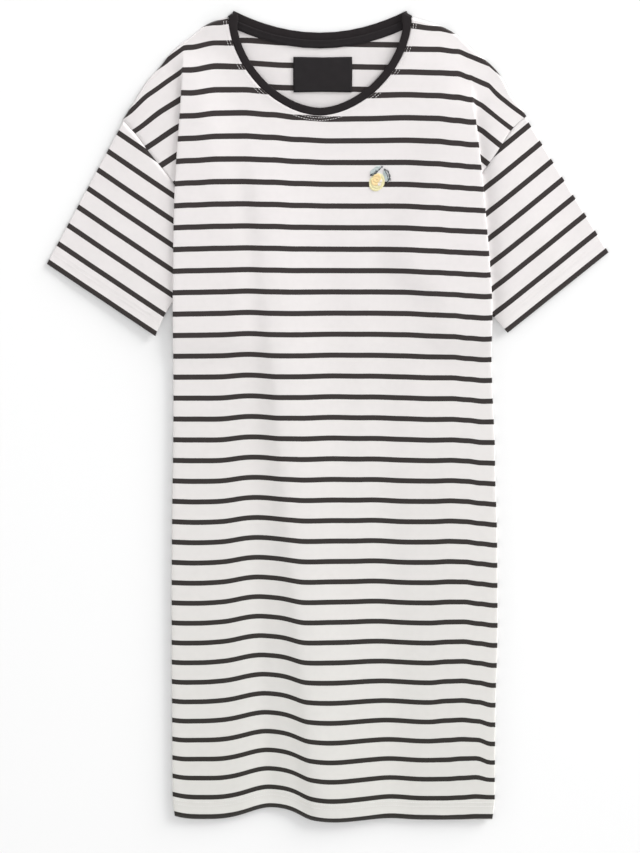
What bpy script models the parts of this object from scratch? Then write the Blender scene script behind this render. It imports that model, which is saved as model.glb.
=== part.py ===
"""Striped jersey nightshirt with a drop shoulder and short sleeves, laid face up.

Sizes are in millimetres until a mesh is made. X runs across the garment to the right,
Y from the hem to the neck, Z up from the surface that the garment lies on.
Most functions work on one half: there x is the distance out from the centre front,
and the sides are mirrored when their points are placed.
A flat place (x, y) is where a point of the cloth lies with every fold opened out.
"""

import math
from collections import namedtuple

import bmesh
import bpy

MM = 0.001

# Cloth: wall, clearance between layers, and the bend of a fold of two layers
CLOTH = 1.2
GAP = 0.3
LAYER = CLOTH + GAP
BEND = LAYER / 2
FOLD_REACH = BEND + CLOTH / 2

# Middle heights of the layers, counted up from the surface
BACK_Z = CLOTH / 2
FRONT_Z = BACK_Z + LAYER
SLEEVE_STACK = 2 * LAYER

# Lengths along the body
HEM_Y = -485.0
UNDERARM_Y = 219.0
NECK_TOP_Y = 477.5
FRONT_NECK_DEPTH = 107.5
BACK_NECK_DEPTH = 25.9
NECK_HALF = 101.5
NECK_ROUND = 1.8
BACK_SHORTER = 3.0
ROLL = 1.6
SEAM_INSET = 1.8
LIP_Z = 0.8
LIP_LIFT = 0.15

# Side seams, as flat half widths
HALF_CHEST = 231.0
HEM_FLARE = 15.0
FOLD_LEAST = 12.0
CREASE_DROP = 14.0
EDGE_CLEAR = 9.0
DROP_WIDTH = 30.0

# How the shoulder fold opens: where its turn starts and ends, in degrees from straight
# up, and the heights over which its layers come to lie on each other
TURN_START = -20.0
TURN_SPREAD = 80.0
APEX_ABOVE = 20.0
STACK_RUN = 60.0
TUCK_RUN = 32.0
BACK_INSET_BELOW = 10.0
BACK_INSET_RUN = 40.0

# How the sleeve's tip and the hidden sides end below the underarm
SLEEVE_TIP_Y = 80.0
SLEEVE_TIP_RUN = 40.0
HIDDEN_BELOW = 70.0
HIDDEN_RUN = 60.0

# Clear of the hidden layers the front rests on the back; near the neck it lies calm
INNER_CLEAR = 6.0
INNER_RUN = 50.0
NECK_CALM = 60.0

# One side of the garment as it was laid: the apex and the turn of its shoulder fold,
# and the corners of the cuff with the bow of the sleeve's lower edge
Side = namedtuple("Side", "name sign column apex_y turn cuff_outer cuff_inner bow")
LEFT = Side("left", -1, 1, 430.6, 33.2, (310.6, 199.3), (188.2, 115.2), 12.0)
RIGHT = Side("right", 1, 2, 388.3, 38.8, (327.6, 212.6), (214.5, 119.2), 2.0)
SIDES = (LEFT, RIGHT)

# Top of the flat cloth along the shoulder, where it rolls away: x, y left, y right
SHOULDERS = (
    (101.5, 477.5, 477.5),
    (124.0, 470.1, 471.1),
    (148.0, 451.8, 460.1),
    (172.0, 439.5, 435.6),
    (196.0, 433.2, 418.0),
    (220.0, 423.2, 412.6),
    (260.0, 405.2, 400.1),
)

# Folded edge of the body: y, reach on the left, reach on the right
EDGES = (
    (-485.0, 175.8, 208.6),
    (-462.0, 177.8, 210.9),
    (-430.0, 177.6, 210.6),
    (-330.0, 176.7, 209.7),
    (-257.0, 175.9, 210.4),
    (-182.0, 174.7, 209.0),
    (-108.0, 173.1, 206.9),
    (-58.0, 171.7, 204.2),
    (-10.0, 170.2, 202.6),
    (38.0, 169.2, 199.6),
    (90.0, 168.6, 197.0),
    (158.0, 168.0, 196.2),
    (286.0, 163.8, 184.4),
    (388.0, 155.5, 171.7),
    (431.0, 153.3, 167.0),
    (480.0, 151.0, 164.0),
)

# Armhole seam on the flat cloth: y, x on the left, x on the right
ARMHOLES = (
    (219.0, 237.0, 237.0),
    (330.0, 239.0, 233.0),
    (365.0, 242.0, 230.0),
    (388.0, 243.0, 227.5),
    (408.0, 246.0, 230.5),
)

# Soft folds down the front: x and y of the lower end, x and y of the upper end,
# half width and height, with troughs negative
FRONT_FOLDS = (
    (-132.0, -485.0, -128.0, 200.0, 34.0, 1.5),
    (-60.0, -485.0, -98.0, 250.0, 24.0, -1.7),
    (18.0, -485.0, -52.0, 250.0, 32.0, 1.7),
    (88.0, -485.0, 62.0, 60.0, 24.0, -1.0),
    (140.0, -485.0, 118.0, 180.0, 30.0, 1.2),
)
FOLD_BASE = 1.8
FOLD_FADE = 90.0

# Waves of the hem along the cloth: x at the hem, half width left and right, lift
HEM_WAVES = (
    (-199.0, 22.0, 25.6, 10.2),
    (-59.4, 37.8, 57.0, 15.5),
    (-9.5, 20.4, 88.5, -8.0),
    (77.0, 59.8, 29.0, 4.4),
)
WAVE_FADE = 312.0
WAVE_TOP_RUN = 300.0
WAVE_LEAN = 0.031

# Neck band, tape and label
FRONT_BAND = 8.5
CORNER_BAND = 11.0
BACK_BAND = 9.8
BAND_THICK = 2.0
BAND_BACK_Z = BAND_THICK / 2
NECK_LIFT = 2.8
BAND_FRONT_Z = FRONT_Z + NECK_LIFT
NECK_SLOPE = 55.0
CORNER_ANGLE = 28.0
CORNER_INSET = 0.6
CORNER_REACH = 12.0
CORNER_RISE = 0.5
TAPE_WIDTH = 6.2
TAPE_THICK = 0.8
LABEL_WIDTH = 66.0
LABEL_HEIGHT = 39.0
LABEL_TOP_Y = 433.4
LABEL_X = 3.0
LABEL_THICK = 0.8

# Sleeves: the spare height of the upper layer over the lower one, the share of the
# length over which it grows, and the gap at the armhole seam
SLEEVE_PUFF = 2.0
PUFF_RUN = 0.35
SEAM_GAP = 0.35

# Fineness of the meshes
FRONT_STEPS = 10
BACK_STEPS = 5
BEND_STEPS = 4
UNDER_STEPS = 2
CAP_STEPS = 3
LOWER_ROWS = 13
FRONT_NECK_ROWS = 7
BACK_NECK_ROWS = 4
CHEST_ROW_MOST = 0.085
ROW_MOST = 0.042
ROW_LEAST = 0.02
SLEEVE_ROWS = 6
BAND_BEND_STEPS = 6
WELD = 0.02
CLOSING_STEPS = 6
HALVINGS = 50


def smooth(t):
    t = min(1.0, max(0.0, t))
    return t * t * (3 - 2 * t)


def mix(a, b, t):
    return a + (b - a) * t


def through(rows, y, column):
    """Reads a column of a table at y, on a smooth curve through its rows."""
    last = len(rows) - 1
    k = 0
    while k < last - 1 and y > rows[k + 1][0]:
        k += 1
    span = rows[k + 1][0] - rows[k][0]

    def slope(i):
        low, high = max(0, i - 1), min(last, i + 1)
        return (rows[high][column] - rows[low][column]) / (rows[high][0] - rows[low][0])

    t = min(1.0, max(0.0, (y - rows[k][0]) / span))
    a, b = rows[k][column], rows[k + 1][column]
    bulge = mix(slope(k) * span - (b - a), (b - a) - slope(k + 1) * span, t)
    return mix(a, b, t) + t * (1 - t) * bulge


def edge(side, y):
    return through(EDGES, y, side.column)


def apex(side):
    return edge(side, side.apex_y), side.apex_y


def shoulder_y(side, x):
    """Top of the flat cloth at x: level across the neck, then down the shoulder."""
    return NECK_TOP_Y if x <= NECK_HALF else through(SHOULDERS, x, side.column)


def turned(side, x, y):
    """Turns a flat place round the apex of the shoulder fold, as the sleeve drops."""
    apex_x, apex_y = apex(side)
    radius = math.hypot(x - apex_x, y - apex_y)
    angle = math.atan2(x - apex_x, y - apex_y)
    share = (math.degrees(angle) - TURN_START) / TURN_SPREAD
    angle += math.radians(side.turn) * smooth(share)
    return apex_x + radius * math.sin(angle), apex_y + radius * math.cos(angle)


def wedge_x(side, y):
    """Flat x of the hidden crease, which runs from the apex to the underarm."""
    apex_x, apex_y = apex(side)
    slope = (HALF_CHEST - apex_x) / (apex_y - UNDERARM_Y)
    opening = apex_x + slope * (apex_y - y) - edge(side, y)
    return edge(side, y) + math.hypot(FOLD_LEAST, max(0.0, opening))


def side_seam_x(side, y):
    flare = HEM_FLARE * (UNDERARM_Y - y) / (UNDERARM_Y - HEM_Y)
    return wedge_x(side, UNDERARM_Y) + flare


def hidden_depth(side, y):
    """How far in from the body's folded edge the layers under it reach."""
    if y >= UNDERARM_Y:
        return edge(side, y) - turned(side, wedge_x(side, y), y)[0]
    below = side_seam_x(side, y) - edge(side, y)
    share = smooth((y - UNDERARM_Y + HIDDEN_BELOW) / HIDDEN_RUN)
    return mix(below, hidden_depth(side, UNDERARM_Y), share)


def hem_wave(side, x, y):
    """How far the cloth is drawn up at this place by the waves of the hem."""
    across = side.sign * x
    rise = y - HEM_Y
    lift = 0.0
    for centre, left, right, height in HEM_WAVES:
        off = across - centre + WAVE_LEAN * rise
        off /= left if off < 0 else right
        lift += height * math.exp(-off * off)
    return lift * math.exp(-rise / WAVE_FADE) * smooth((UNDERARM_Y - y) / WAVE_TOP_RUN)


def stacked(side, y):
    """How fully the folded shoulder lies under the body at this height, 0 to 1."""
    return smooth((side.apex_y + APEX_ABOVE - y) / STACK_RUN)


def sleeve_under(y):
    """Whether the sleeve still lies inside the body's edge at this height, 0 to 1."""
    return smooth((y - SLEEVE_TIP_Y) / SLEEVE_TIP_RUN)


def outside(side, x, y):
    """How far a place lies clear of the body's folded edge, 0 to 1."""
    return smooth((x - edge(side, y) - EDGE_CLEAR) / DROP_WIDTH)


def cap_z(side, x, y, base):
    """Height of the shoulder cap and the sleeve, which drop to the surface outside."""
    return base + SLEEVE_STACK * stacked(side, y) * (1 - outside(side, x, y))


def edge_z(side, y):
    """Height of the front at its folded edge, above the layers that lie under it."""
    cap = stacked(side, y - CREASE_DROP)
    tucked = smooth((side.apex_y + APEX_ABOVE - y) / TUCK_RUN) * sleeve_under(y)
    return FRONT_Z + SLEEVE_STACK * (cap + tucked)


def fold_relief(x, y):
    """Height of the soft folds down the front at the place (x, y) of the surface."""
    height = FOLD_BASE
    for low_x, low_y, high_x, high_y, width, rise in FRONT_FOLDS:
        centre = mix(low_x, high_x, (y - low_y) / (high_y - low_y))
        off = (x - centre) / width
        height += rise * math.exp(-off * off) * smooth((high_y + FOLD_FADE - y) / FOLD_FADE)
    return height


def neck_rise(x, y):
    """Height that the front gains towards the neck band."""
    down = max(0.0, NECK_TOP_Y - y) / FRONT_NECK_DEPTH
    ring = ((x / NECK_HALF) ** 2 + down**2) ** 0.5
    return NECK_LIFT * smooth(1 - (ring - 1) * NECK_HALF / NECK_SLOPE)


def front_z(side, x, y):
    """Height of the front between its folded edges."""
    clear = edge(side, y) - x - hidden_depth(side, y)
    inner = smooth((clear - INNER_CLEAR) / INNER_RUN)
    relief = fold_relief(side.sign * x, y) * smooth((NECK_TOP_Y - y) / NECK_CALM)
    middle = FRONT_Z + max(relief, neck_rise(x, y))
    return mix(max(edge_z(side, y), FRONT_Z + neck_rise(x, y)), middle, inner)


def spread(points, count):
    """Sets count points at even steps along a path that starts at the origin."""
    path = [(0.0, 0.0)] + points
    lengths = [0.0]
    for a, b in zip(path, path[1:]):
        lengths.append(lengths[-1] + math.dist(a, b))
    even = []
    k = 0
    for i in range(1, count + 1):
        goal = lengths[-1] * i / count
        while k < len(path) - 2 and lengths[k + 1] < goal:
            k += 1
        t = (goal - lengths[k]) / (lengths[k + 1] - lengths[k])
        even.append((mix(path[k][0], path[k + 1][0], t), mix(path[k][1], path[k + 1][1], t)))
    return even


def fold_profile(reach, drop):
    """A section through two bends and the layer between them.

    It starts level, ends level, reach further out and drop lower, and gives pairs of
    distances out and down. With reach below zero, the layer between doubles back.
    """
    drop = max(drop, 0.01)
    radius = BEND if reach >= 2 * BEND else drop / 4
    if reach <= 0:
        turn = math.pi
        run = -reach
    else:
        low, high = 1e-4, math.acos(max(-1.0, 1 - drop / (2 * radius)))
        for _ in range(HALVINGS):
            turn = (low + high) / 2
            run = (drop - 2 * radius * (1 - math.cos(turn))) / math.sin(turn)
            if 2 * radius * math.sin(turn) + run * math.cos(turn) > reach:
                low = turn
            else:
                high = turn
    points = []
    for i in range(1, BEND_STEPS + 1):
        a = turn * i / BEND_STEPS
        points.append((radius * math.sin(a), radius * (1 - math.cos(a))))
    start = points[-1]
    for i in range(1, UNDER_STEPS + 1):
        along = run * i / UNDER_STEPS
        points.append((start[0] + along * math.cos(turn), start[1] + along * math.sin(turn)))
    for i in range(BEND_STEPS - 1, -1, -1):
        a = turn * i / BEND_STEPS
        points.append((reach - radius * math.sin(a), drop - radius * (1 - math.cos(a))))
    return points if reach <= 0 else spread(points, len(points))


class Panel:
    """What differs between the front and the back panel."""

    def __init__(self, name, direction, base, neck_depth, neck_round, neck_fall, steps):
        self.name = name
        self.steps = steps
        self.direction = direction
        self.base = base
        self.neck_depth = neck_depth
        self.neck_round = neck_round
        self.neck_fall = neck_fall

    def body_z(self, side, x, y):
        return front_z(side, x, y) if self.direction < 0 else BACK_Z

    def row_y(self, side, share, x):
        """y of a row of the upper body: level at the underarm, sloped at the shoulder."""
        return mix(UNDERARM_Y, shoulder_y(side, x) - ROLL, share)

    def neck_x(self, y):
        """Half width of the neck opening at height y."""
        down = (NECK_TOP_Y - ROLL - y) / self.neck_depth
        if down >= 1:
            return 0.0
        return NECK_HALF * (1 - max(0.0, down) ** self.neck_fall) ** (1 / self.neck_round)

    def neck_bottom(self):
        """Share of the height from underarm to shoulder at which the neck begins."""
        return 1 - self.neck_depth / (NECK_TOP_Y - ROLL - UNDERARM_Y)

    def crease_x(self, side, y):
        """Where the body's folded edge begins to bend; the back's lies further in."""
        below = smooth((side.apex_y - y - BACK_INSET_BELOW) / BACK_INSET_RUN)
        return edge(side, y) - FOLD_REACH - CLOTH * below * (self.direction > 0)


FRONT = Panel("front", -1, FRONT_Z, FRONT_NECK_DEPTH, NECK_ROUND, NECK_ROUND, FRONT_STEPS)
BACK = Panel("back", 1, BACK_Z, BACK_NECK_DEPTH, 2.0, 1.0, BACK_STEPS)


def body_points(panel, side, row_y, inner_x, outer_x):
    points = []
    for j in range(panel.steps + 1):
        x = mix(inner_x, outer_x, j / panel.steps)
        y = row_y(x)
        z = panel.body_z(side, x, y)
        if y > side.apex_y:
            x, y = turned(side, x, y)
        points.append((x, y + hem_wave(side, x, y), z))
    return points


def lower_row(panel, side, y):
    """Half a row below the underarm: body, folded edge, and the cloth tucked under."""
    if panel is BACK:
        y = max(y, HEM_Y + BACK_SHORTER)
    points = body_points(panel, side, lambda x: y, 0.0, panel.crease_x(side, y))
    x0, y0, z0 = points[-1]
    depth = side_seam_x(side, y) - edge(side, y)
    profile = fold_profile(-depth, 4 * BEND)[: BEND_STEPS + UNDER_STEPS]
    for out, down in profile:
        points.append((x0 + out, y0, z0 + panel.direction * down))
    return points


def armhole_x(side, share):
    """Flat x at which a row of the upper body meets the armhole seam."""
    x = ARMHOLES[0][side.column]
    for _ in range(CLOSING_STEPS):
        x = through(ARMHOLES, FRONT.row_y(side, share, x), side.column)
    return x


def upper_row(panel, side, share):
    """Half a row of the upper body, on through the shoulder fold to the armhole."""

    def row_y(x):
        return panel.row_y(side, share, x)

    level = row_y(0.0)
    crease_x = edge(side, level)
    wedge = crease_x
    for _ in range(CLOSING_STEPS):
        crease_x = panel.crease_x(side, row_y(crease_x))
        wedge = wedge_x(side, row_y(wedge))
    points = body_points(panel, side, row_y, panel.neck_x(level), crease_x)
    x0, y0, z0 = points[-1]
    x1, y1 = turned(side, wedge, row_y(wedge))
    drop = panel.direction * (cap_z(side, x1, y1, panel.base) - z0)
    profile = fold_profile(x1 - x0, drop)
    travelled = [0.0]
    for a, b in zip([(0.0, 0.0)] + profile, profile):
        travelled.append(travelled[-1] + math.dist(a, b))
    for (out, down), length in zip(profile, travelled[1:]):
        y = mix(y0, y1, length / travelled[-1])
        points.append((x0 + out, y, z0 + panel.direction * down))
    arm_x = armhole_x(side, share)
    for i in range(1, CAP_STEPS + 1):
        flat_x = mix(wedge, arm_x, i / CAP_STEPS)
        x, y = turned(side, flat_x, row_y(flat_x))
        points.append((x, y, cap_z(side, x, y, panel.base)))
    return points


def lip_row(row):
    """The cloth rolled down over the shoulder seam, one step beyond the last row."""
    points = []
    for j, (x, y, z) in enumerate(row):
        ax, ay, _ = row[max(0, j - 1)]
        bx, by, _ = row[min(len(row) - 1, j + 1)]
        length = math.hypot(bx - ax, by - ay) or 1.0
        out_x, out_y = -(by - ay) / length, (bx - ax) / length
        points.append((x + out_x, y + out_y, mix(LIP_Z, z, LIP_LIFT)))
    return points


def neck_shares(panel, rows):
    """Shares of the height from underarm to shoulder at even turns of a neck curve."""
    shares = []
    for i in range(rows, -1, -1):
        down = math.sin(math.pi / 2 * i / rows) ** (2 / panel.neck_fall)
        shares.append(mix(1.0, panel.neck_bottom(), down))
    return shares


def row_shares():
    """Rows of the upper body, the same on both panels so that their layers match."""
    back_neck = neck_shares(BACK, BACK_NECK_ROWS)
    front_neck = [s for s in neck_shares(FRONT, FRONT_NECK_ROWS) if s < back_neck[0] - ROW_LEAST]
    shares = [0.0]
    for goal in front_neck + back_neck:
        low = shares[-1]
        most = CHEST_ROW_MOST if low == 0 else ROW_MOST
        parts = math.ceil((goal - low) / most)
        shares += [mix(low, goal, (i + 1) / parts) for i in range(parts)]
    return shares


def half_panel(panel, side):
    rows = []
    for i in range(LOWER_ROWS):
        rows.append(lower_row(panel, side, mix(HEM_Y, UNDERARM_Y, i / LOWER_ROWS)))
    for share in row_shares():
        most = 1.0 if panel is FRONT else 1 - SEAM_INSET / (NECK_TOP_Y - UNDERARM_Y)
        rows.append(upper_row(panel, side, min(share, most)))
    if panel is FRONT:
        rows.append(lip_row(rows[-1]))
    return rows


def place(side, point):
    x, y, z = point
    return side.sign * x * MM, y * MM, z * MM


def sheet_object(name, patches, wall, colour):
    """Joins grids of points into one open surface and gives it its wall."""
    mesh = bpy.data.meshes.new(name)
    bm = bmesh.new()
    for side, rows in patches:
        grid = [[bm.verts.new(place(side, p)) for p in row] for row in rows]
        for low, high in zip(grid, grid[1:]):
            for j in range(min(len(low), len(high)) - 1):
                corners = [low[j], low[j + 1], high[j + 1], high[j]]
                bm.faces.new(corners if side.sign > 0 else corners[::-1])
    bmesh.ops.remove_doubles(bm, verts=bm.verts, dist=WELD * MM)
    bmesh.ops.recalc_face_normals(bm, faces=bm.faces)
    bm.to_mesh(mesh)
    bm.free()
    mesh.shade_smooth()
    obj = bpy.data.objects.new(name, mesh)
    shell = obj.modifiers.new("Wall", "SOLIDIFY")
    shell.thickness = wall * MM
    shell.offset = 0.0
    shell.use_even_offset = True
    obj.data.materials.append(material(name, colour))
    bpy.data.collections["nightshirt"].objects.link(obj)
    return obj


def material(name, colour):
    mat = bpy.data.materials.new(name)
    mat.use_nodes = True
    shader = mat.node_tree.nodes["Principled BSDF"]
    shader.inputs["Base Color"].default_value = (*colour, 1.0)
    shader.inputs["Roughness"].default_value = 0.85
    shader.inputs["Metallic"].default_value = 0.0
    return mat


def sleeve_place(side, q, t):
    """A place on the laid sleeve: q from outer fold to underarm, t from seam to cuff."""
    arm_x = armhole_x(side, 1 - q)
    seam = turned(side, arm_x, FRONT.row_y(side, 1 - q, arm_x))
    cuff = [mix(a, b, q) for a, b in zip(side.cuff_outer, side.cuff_inner)]
    run = math.dist(seam, cuff)
    t = mix(SEAM_GAP / run, 1.0, t)
    bow = side.bow * 4 * t * (1 - t) * q * q
    along_x, along_y = (cuff[0] - seam[0]) / run, (cuff[1] - seam[1]) / run
    return mix(seam[0], cuff[0], t) - bow * along_y, mix(seam[1], cuff[1], t) + bow * along_x


def sleeve_ring(side, t):
    """One section round the flattened sleeve: top layer, underarm, lower layer, fold."""
    width = math.dist(sleeve_place(side, 0.0, t), sleeve_place(side, 1.0, t))
    inset = FOLD_REACH / width
    top, under = [], []
    for share in reversed(row_shares()):
        q = min(1 - inset, max(inset, 1 - share))
        x, y = sleeve_place(side, q, t)
        puff = SLEEVE_PUFF * math.sin(math.pi * (q - inset) / (1 - 2 * inset)) * smooth(t / PUFF_RUN)
        top.append((x, y, cap_z(side, x, y, FRONT_Z) + puff * outside(side, x, y)))
        under.append((x, y, cap_z(side, x, y, BACK_Z)))

    def bend(a, b, inner):
        length = math.dist(a[:2], inner[:2])
        out_x, out_y = (a[0] - inner[0]) / length, (a[1] - inner[1]) / length
        middle, radius = (a[2] + b[2]) / 2, (a[2] - b[2]) / 2
        points = []
        for i in range(1, BEND_STEPS):
            angle = math.pi * i / BEND_STEPS
            reach = abs(radius) * math.sin(angle)
            z = middle + radius * math.cos(angle)
            points.append((a[0] + out_x * reach, a[1] + out_y * reach, z))
        return points

    ring = top + bend(top[-1], under[-1], top[-2])
    ring += under[::-1] + bend(under[0], top[0], top[1])
    return ring + [ring[0]]


def make_sleeve(side, colour):
    rings = [sleeve_ring(side, i / SLEEVE_ROWS) for i in range(SLEEVE_ROWS + 1)]
    return sheet_object("sleeve_" + side.name, [(side, rings)], CLOTH, colour)


def neck_curve(panel, offset):
    """The panel's neck edge from its lowest point to the shoulder, and its normals."""
    path = []
    for share in row_shares():
        if share > panel.neck_bottom() - 1e-6:
            y = panel.row_y(LEFT, share, 0.0)
            path.append((panel.neck_x(y), y))
    normals = []
    for i in range(len(path)):
        ax, ay = path[max(0, i - 1)]
        bx, by = path[min(len(path) - 1, i + 1)]
        if i == 0:
            ax, ay = -bx, by
        length = math.hypot(bx - ax, by - ay)
        normals.append((-(by - ay) / length, (bx - ax) / length))
    edge_points = [(x + nx * offset, y + ny * offset) for (x, y), (nx, ny) in zip(path, normals)]
    return edge_points, normals


def make_neck_band(colour):
    """A folded band round the neck: up the front, over the shoulder, along the back."""
    angle = math.radians(CORNER_ANGLE)
    corner = (-math.cos(angle), math.sin(angle))
    over = (math.sin(angle), math.cos(angle))
    corner_at = (NECK_HALF - CORNER_INSET, NECK_TOP_Y - ROLL + CORNER_RISE)
    rows = []

    def station(at, across, z, width):
        steps = (0.0, width / 2, width)
        rows.append([(at[0] + across[0] * w, at[1] + across[1] * w, z) for w in steps])

    def near_corner(at):
        return smooth((at[1] - NECK_TOP_Y + CORNER_REACH) / CORNER_REACH)

    places, normals = neck_curve(FRONT, GAP)
    for at, across in zip(places[:-1], normals):
        station(at, across, BAND_FRONT_Z, mix(FRONT_BAND, CORNER_BAND, near_corner(at)))
    radius = (BAND_FRONT_Z - BAND_BACK_Z) / 2
    for i in range(BAND_BEND_STEPS + 1):
        turn = math.pi * i / BAND_BEND_STEPS
        reach = radius * math.sin(turn)
        at = (corner_at[0] + over[0] * reach, corner_at[1] + over[1] * reach)
        width = mix(CORNER_BAND, BACK_BAND, i / BAND_BEND_STEPS)
        station(at, corner, BAND_BACK_Z + radius * (1 + math.cos(turn)), width)
    places, normals = neck_curve(BACK, GAP)
    for at, across in list(zip(places, normals))[-2::-1]:
        station(at, across, BAND_BACK_Z, BACK_BAND)
    return sheet_object("neck_band", [(side, rows) for side in SIDES], BAND_THICK, colour)


def make_neck_tape(colour):
    """A tape over the seam between the back and the band, on the inside."""
    z = CLOTH + GAP + TAPE_THICK / 2
    places, normals = neck_curve(BACK, -2 * GAP)
    rows = []
    for (x, y), (nx, ny) in list(zip(places, normals))[:-1]:
        rows.append([(x, y, z), (x - nx * TAPE_WIDTH, y - ny * TAPE_WIDTH, z)])
    return sheet_object("neck_tape", [(side, rows) for side in SIDES], TAPE_THICK, colour)


def make_label(colour):
    z = CLOTH + GAP + LABEL_THICK / 2
    rows = []
    for y in (LABEL_TOP_Y - LABEL_HEIGHT, LABEL_TOP_Y):
        rows.append([(LABEL_X + share * LABEL_WIDTH, y, z) for share in (-0.5, 0.5)])
    return sheet_object("neck_label", [(RIGHT, rows)], LABEL_THICK, colour)


def make_panel(panel, colour):
    patches = [(side, half_panel(panel, side)) for side in SIDES]
    return sheet_object(panel.name, patches, CLOTH, colour)


def clear_scene():
    for obj in list(bpy.data.objects):
        bpy.data.objects.remove(obj)
    collection = bpy.data.collections.new("nightshirt")
    bpy.context.scene.collection.children.link(collection)


JERSEY = (0.85, 0.84, 0.83)
BLACK = (0.03, 0.03, 0.032)

clear_scene()
make_panel(FRONT, JERSEY)
make_panel(BACK, JERSEY)
for side in SIDES:
    make_sleeve(side, JERSEY)
make_neck_band(BLACK)
make_neck_tape(BLACK)
make_label(BLACK)
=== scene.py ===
import math
from collections import namedtuple

import bmesh
import bpy
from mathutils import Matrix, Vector


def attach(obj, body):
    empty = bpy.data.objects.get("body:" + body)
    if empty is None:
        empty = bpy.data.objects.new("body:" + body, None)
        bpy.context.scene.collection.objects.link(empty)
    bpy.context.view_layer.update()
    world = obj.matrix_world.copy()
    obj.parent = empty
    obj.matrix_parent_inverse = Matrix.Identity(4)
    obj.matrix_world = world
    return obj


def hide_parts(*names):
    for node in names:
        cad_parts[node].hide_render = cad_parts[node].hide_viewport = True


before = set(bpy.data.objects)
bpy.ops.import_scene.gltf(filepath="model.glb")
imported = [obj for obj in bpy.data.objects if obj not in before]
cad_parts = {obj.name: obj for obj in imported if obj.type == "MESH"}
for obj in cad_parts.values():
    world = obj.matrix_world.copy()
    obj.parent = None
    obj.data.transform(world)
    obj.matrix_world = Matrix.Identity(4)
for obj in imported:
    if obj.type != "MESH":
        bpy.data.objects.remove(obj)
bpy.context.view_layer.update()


# Back panel. It is cut from a thin striped cotton jersey, closed to the front at the
# shoulders and sides, and lies on the floor under every other piece. Sizes are in
# millimetres, and each half is worked out with x as the distance from the centre.
MM = 0.001
WALL = 0.9
LAYER = 1.5
BEND = LAYER / 2
FOLD_REACH = 1.35
BACK_Z = 0.6
FRONT_Z = BACK_Z + LAYER
SLEEVE_STACK = 2 * LAYER

HEM_Y = -485.0
UNDERARM_Y = 219.0
NECK_TOP_Y = 477.5
NECK_HALF = 101.5
NECK_ROUND = 1.8
FRONT_NECK_DEPTH = 107.5
BACK_NECK_DEPTH = 25.9
BACK_SHORTER = 3.0
ROLL = 1.6
LIP_Z = 0.8
BACK_INSET = 1.2
INSET_BELOW = 10.0
INSET_RUN = 40.0
SEAM_INSET = 1.8
SEAM_DIP = 0.5

HALF_CHEST = 231.0
HEM_FLARE = 15.0
FOLD_LEAST = 12.0
CREASE_DROP = 14.0
EDGE_CLEAR = 9.0
DROP_WIDTH = 90.0
APEX_ABOVE = 20.0
STACK_RUN = 95.0
VALLEY_DEPTHS = {"left": 0.2, "right": 2.1}
VALLEY_WIDTH = 11.0
VALLEY_LEAD = 3.0
VALLEY_RAMP = 4.0
TURN_START = -20.0
TURN_SPREAD = 80.0
SEAM_DIP_RUN = 2.5

# One side as it was laid: the apex and turn of its shoulder fold, the corners of the
# cuff and the bow of the sleeve's lower edge
Side = namedtuple("Side", "name sign column apex_y turn cuff_outer cuff_inner bow")
LEFT = Side("left", -1, 1, 430.6, 33.2, (310.6, 199.3), (188.2, 115.2), 12.0)
RIGHT = Side("right", 1, 2, 388.3, 38.8, (327.6, 212.6), (214.5, 119.2), 2.0)
SIDES = (LEFT, RIGHT)

# Top of the flat cloth along the shoulder: x, y left, y right
SHOULDERS = (
    (101.5, 477.5, 477.5),
    (124.0, 470.1, 471.1),
    (148.0, 451.8, 460.1),
    (172.0, 439.5, 435.6),
    (196.0, 433.2, 418.0),
    (220.0, 423.2, 412.6),
    (260.0, 405.2, 400.1),
)

# Folded edge of the body: y, reach left, reach right
EDGES = (
    (-485.0, 175.8, 208.6),
    (-462.0, 177.8, 210.9),
    (-430.0, 177.6, 210.6),
    (-330.0, 176.7, 209.7),
    (-257.0, 175.9, 210.4),
    (-182.0, 174.7, 209.0),
    (-108.0, 173.1, 206.9),
    (-58.0, 171.7, 204.2),
    (-10.0, 170.2, 202.6),
    (38.0, 169.2, 199.6),
    (90.0, 168.6, 197.0),
    (158.0, 168.0, 196.2),
    (286.0, 163.8, 184.4),
    (388.0, 155.5, 171.7),
    (431.0, 153.3, 167.0),
    (480.0, 151.0, 164.0),
)

# Armhole seam on the flat cloth: y, x left, x right
ARMHOLES = (
    (219.0, 237.0, 237.0),
    (330.0, 239.0, 233.0),
    (365.0, 242.0, 230.0),
    (388.0, 243.0, 227.5),
    (408.0, 246.0, 230.5),
)

# Waves of the hem along the cloth: x at the hem, half width left and right, lift
HEM_WAVES = (
    (-199.0, 22.0, 25.6, 10.2),
    (-59.4, 37.8, 57.0, 15.5),
    (-9.5, 20.4, 88.5, -8.0),
    (77.0, 59.8, 29.0, 4.4),
)
WAVE_FADE = 312.0
WAVE_LEAN = 0.031
WAVE_TOP_RUN = 300.0

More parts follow.
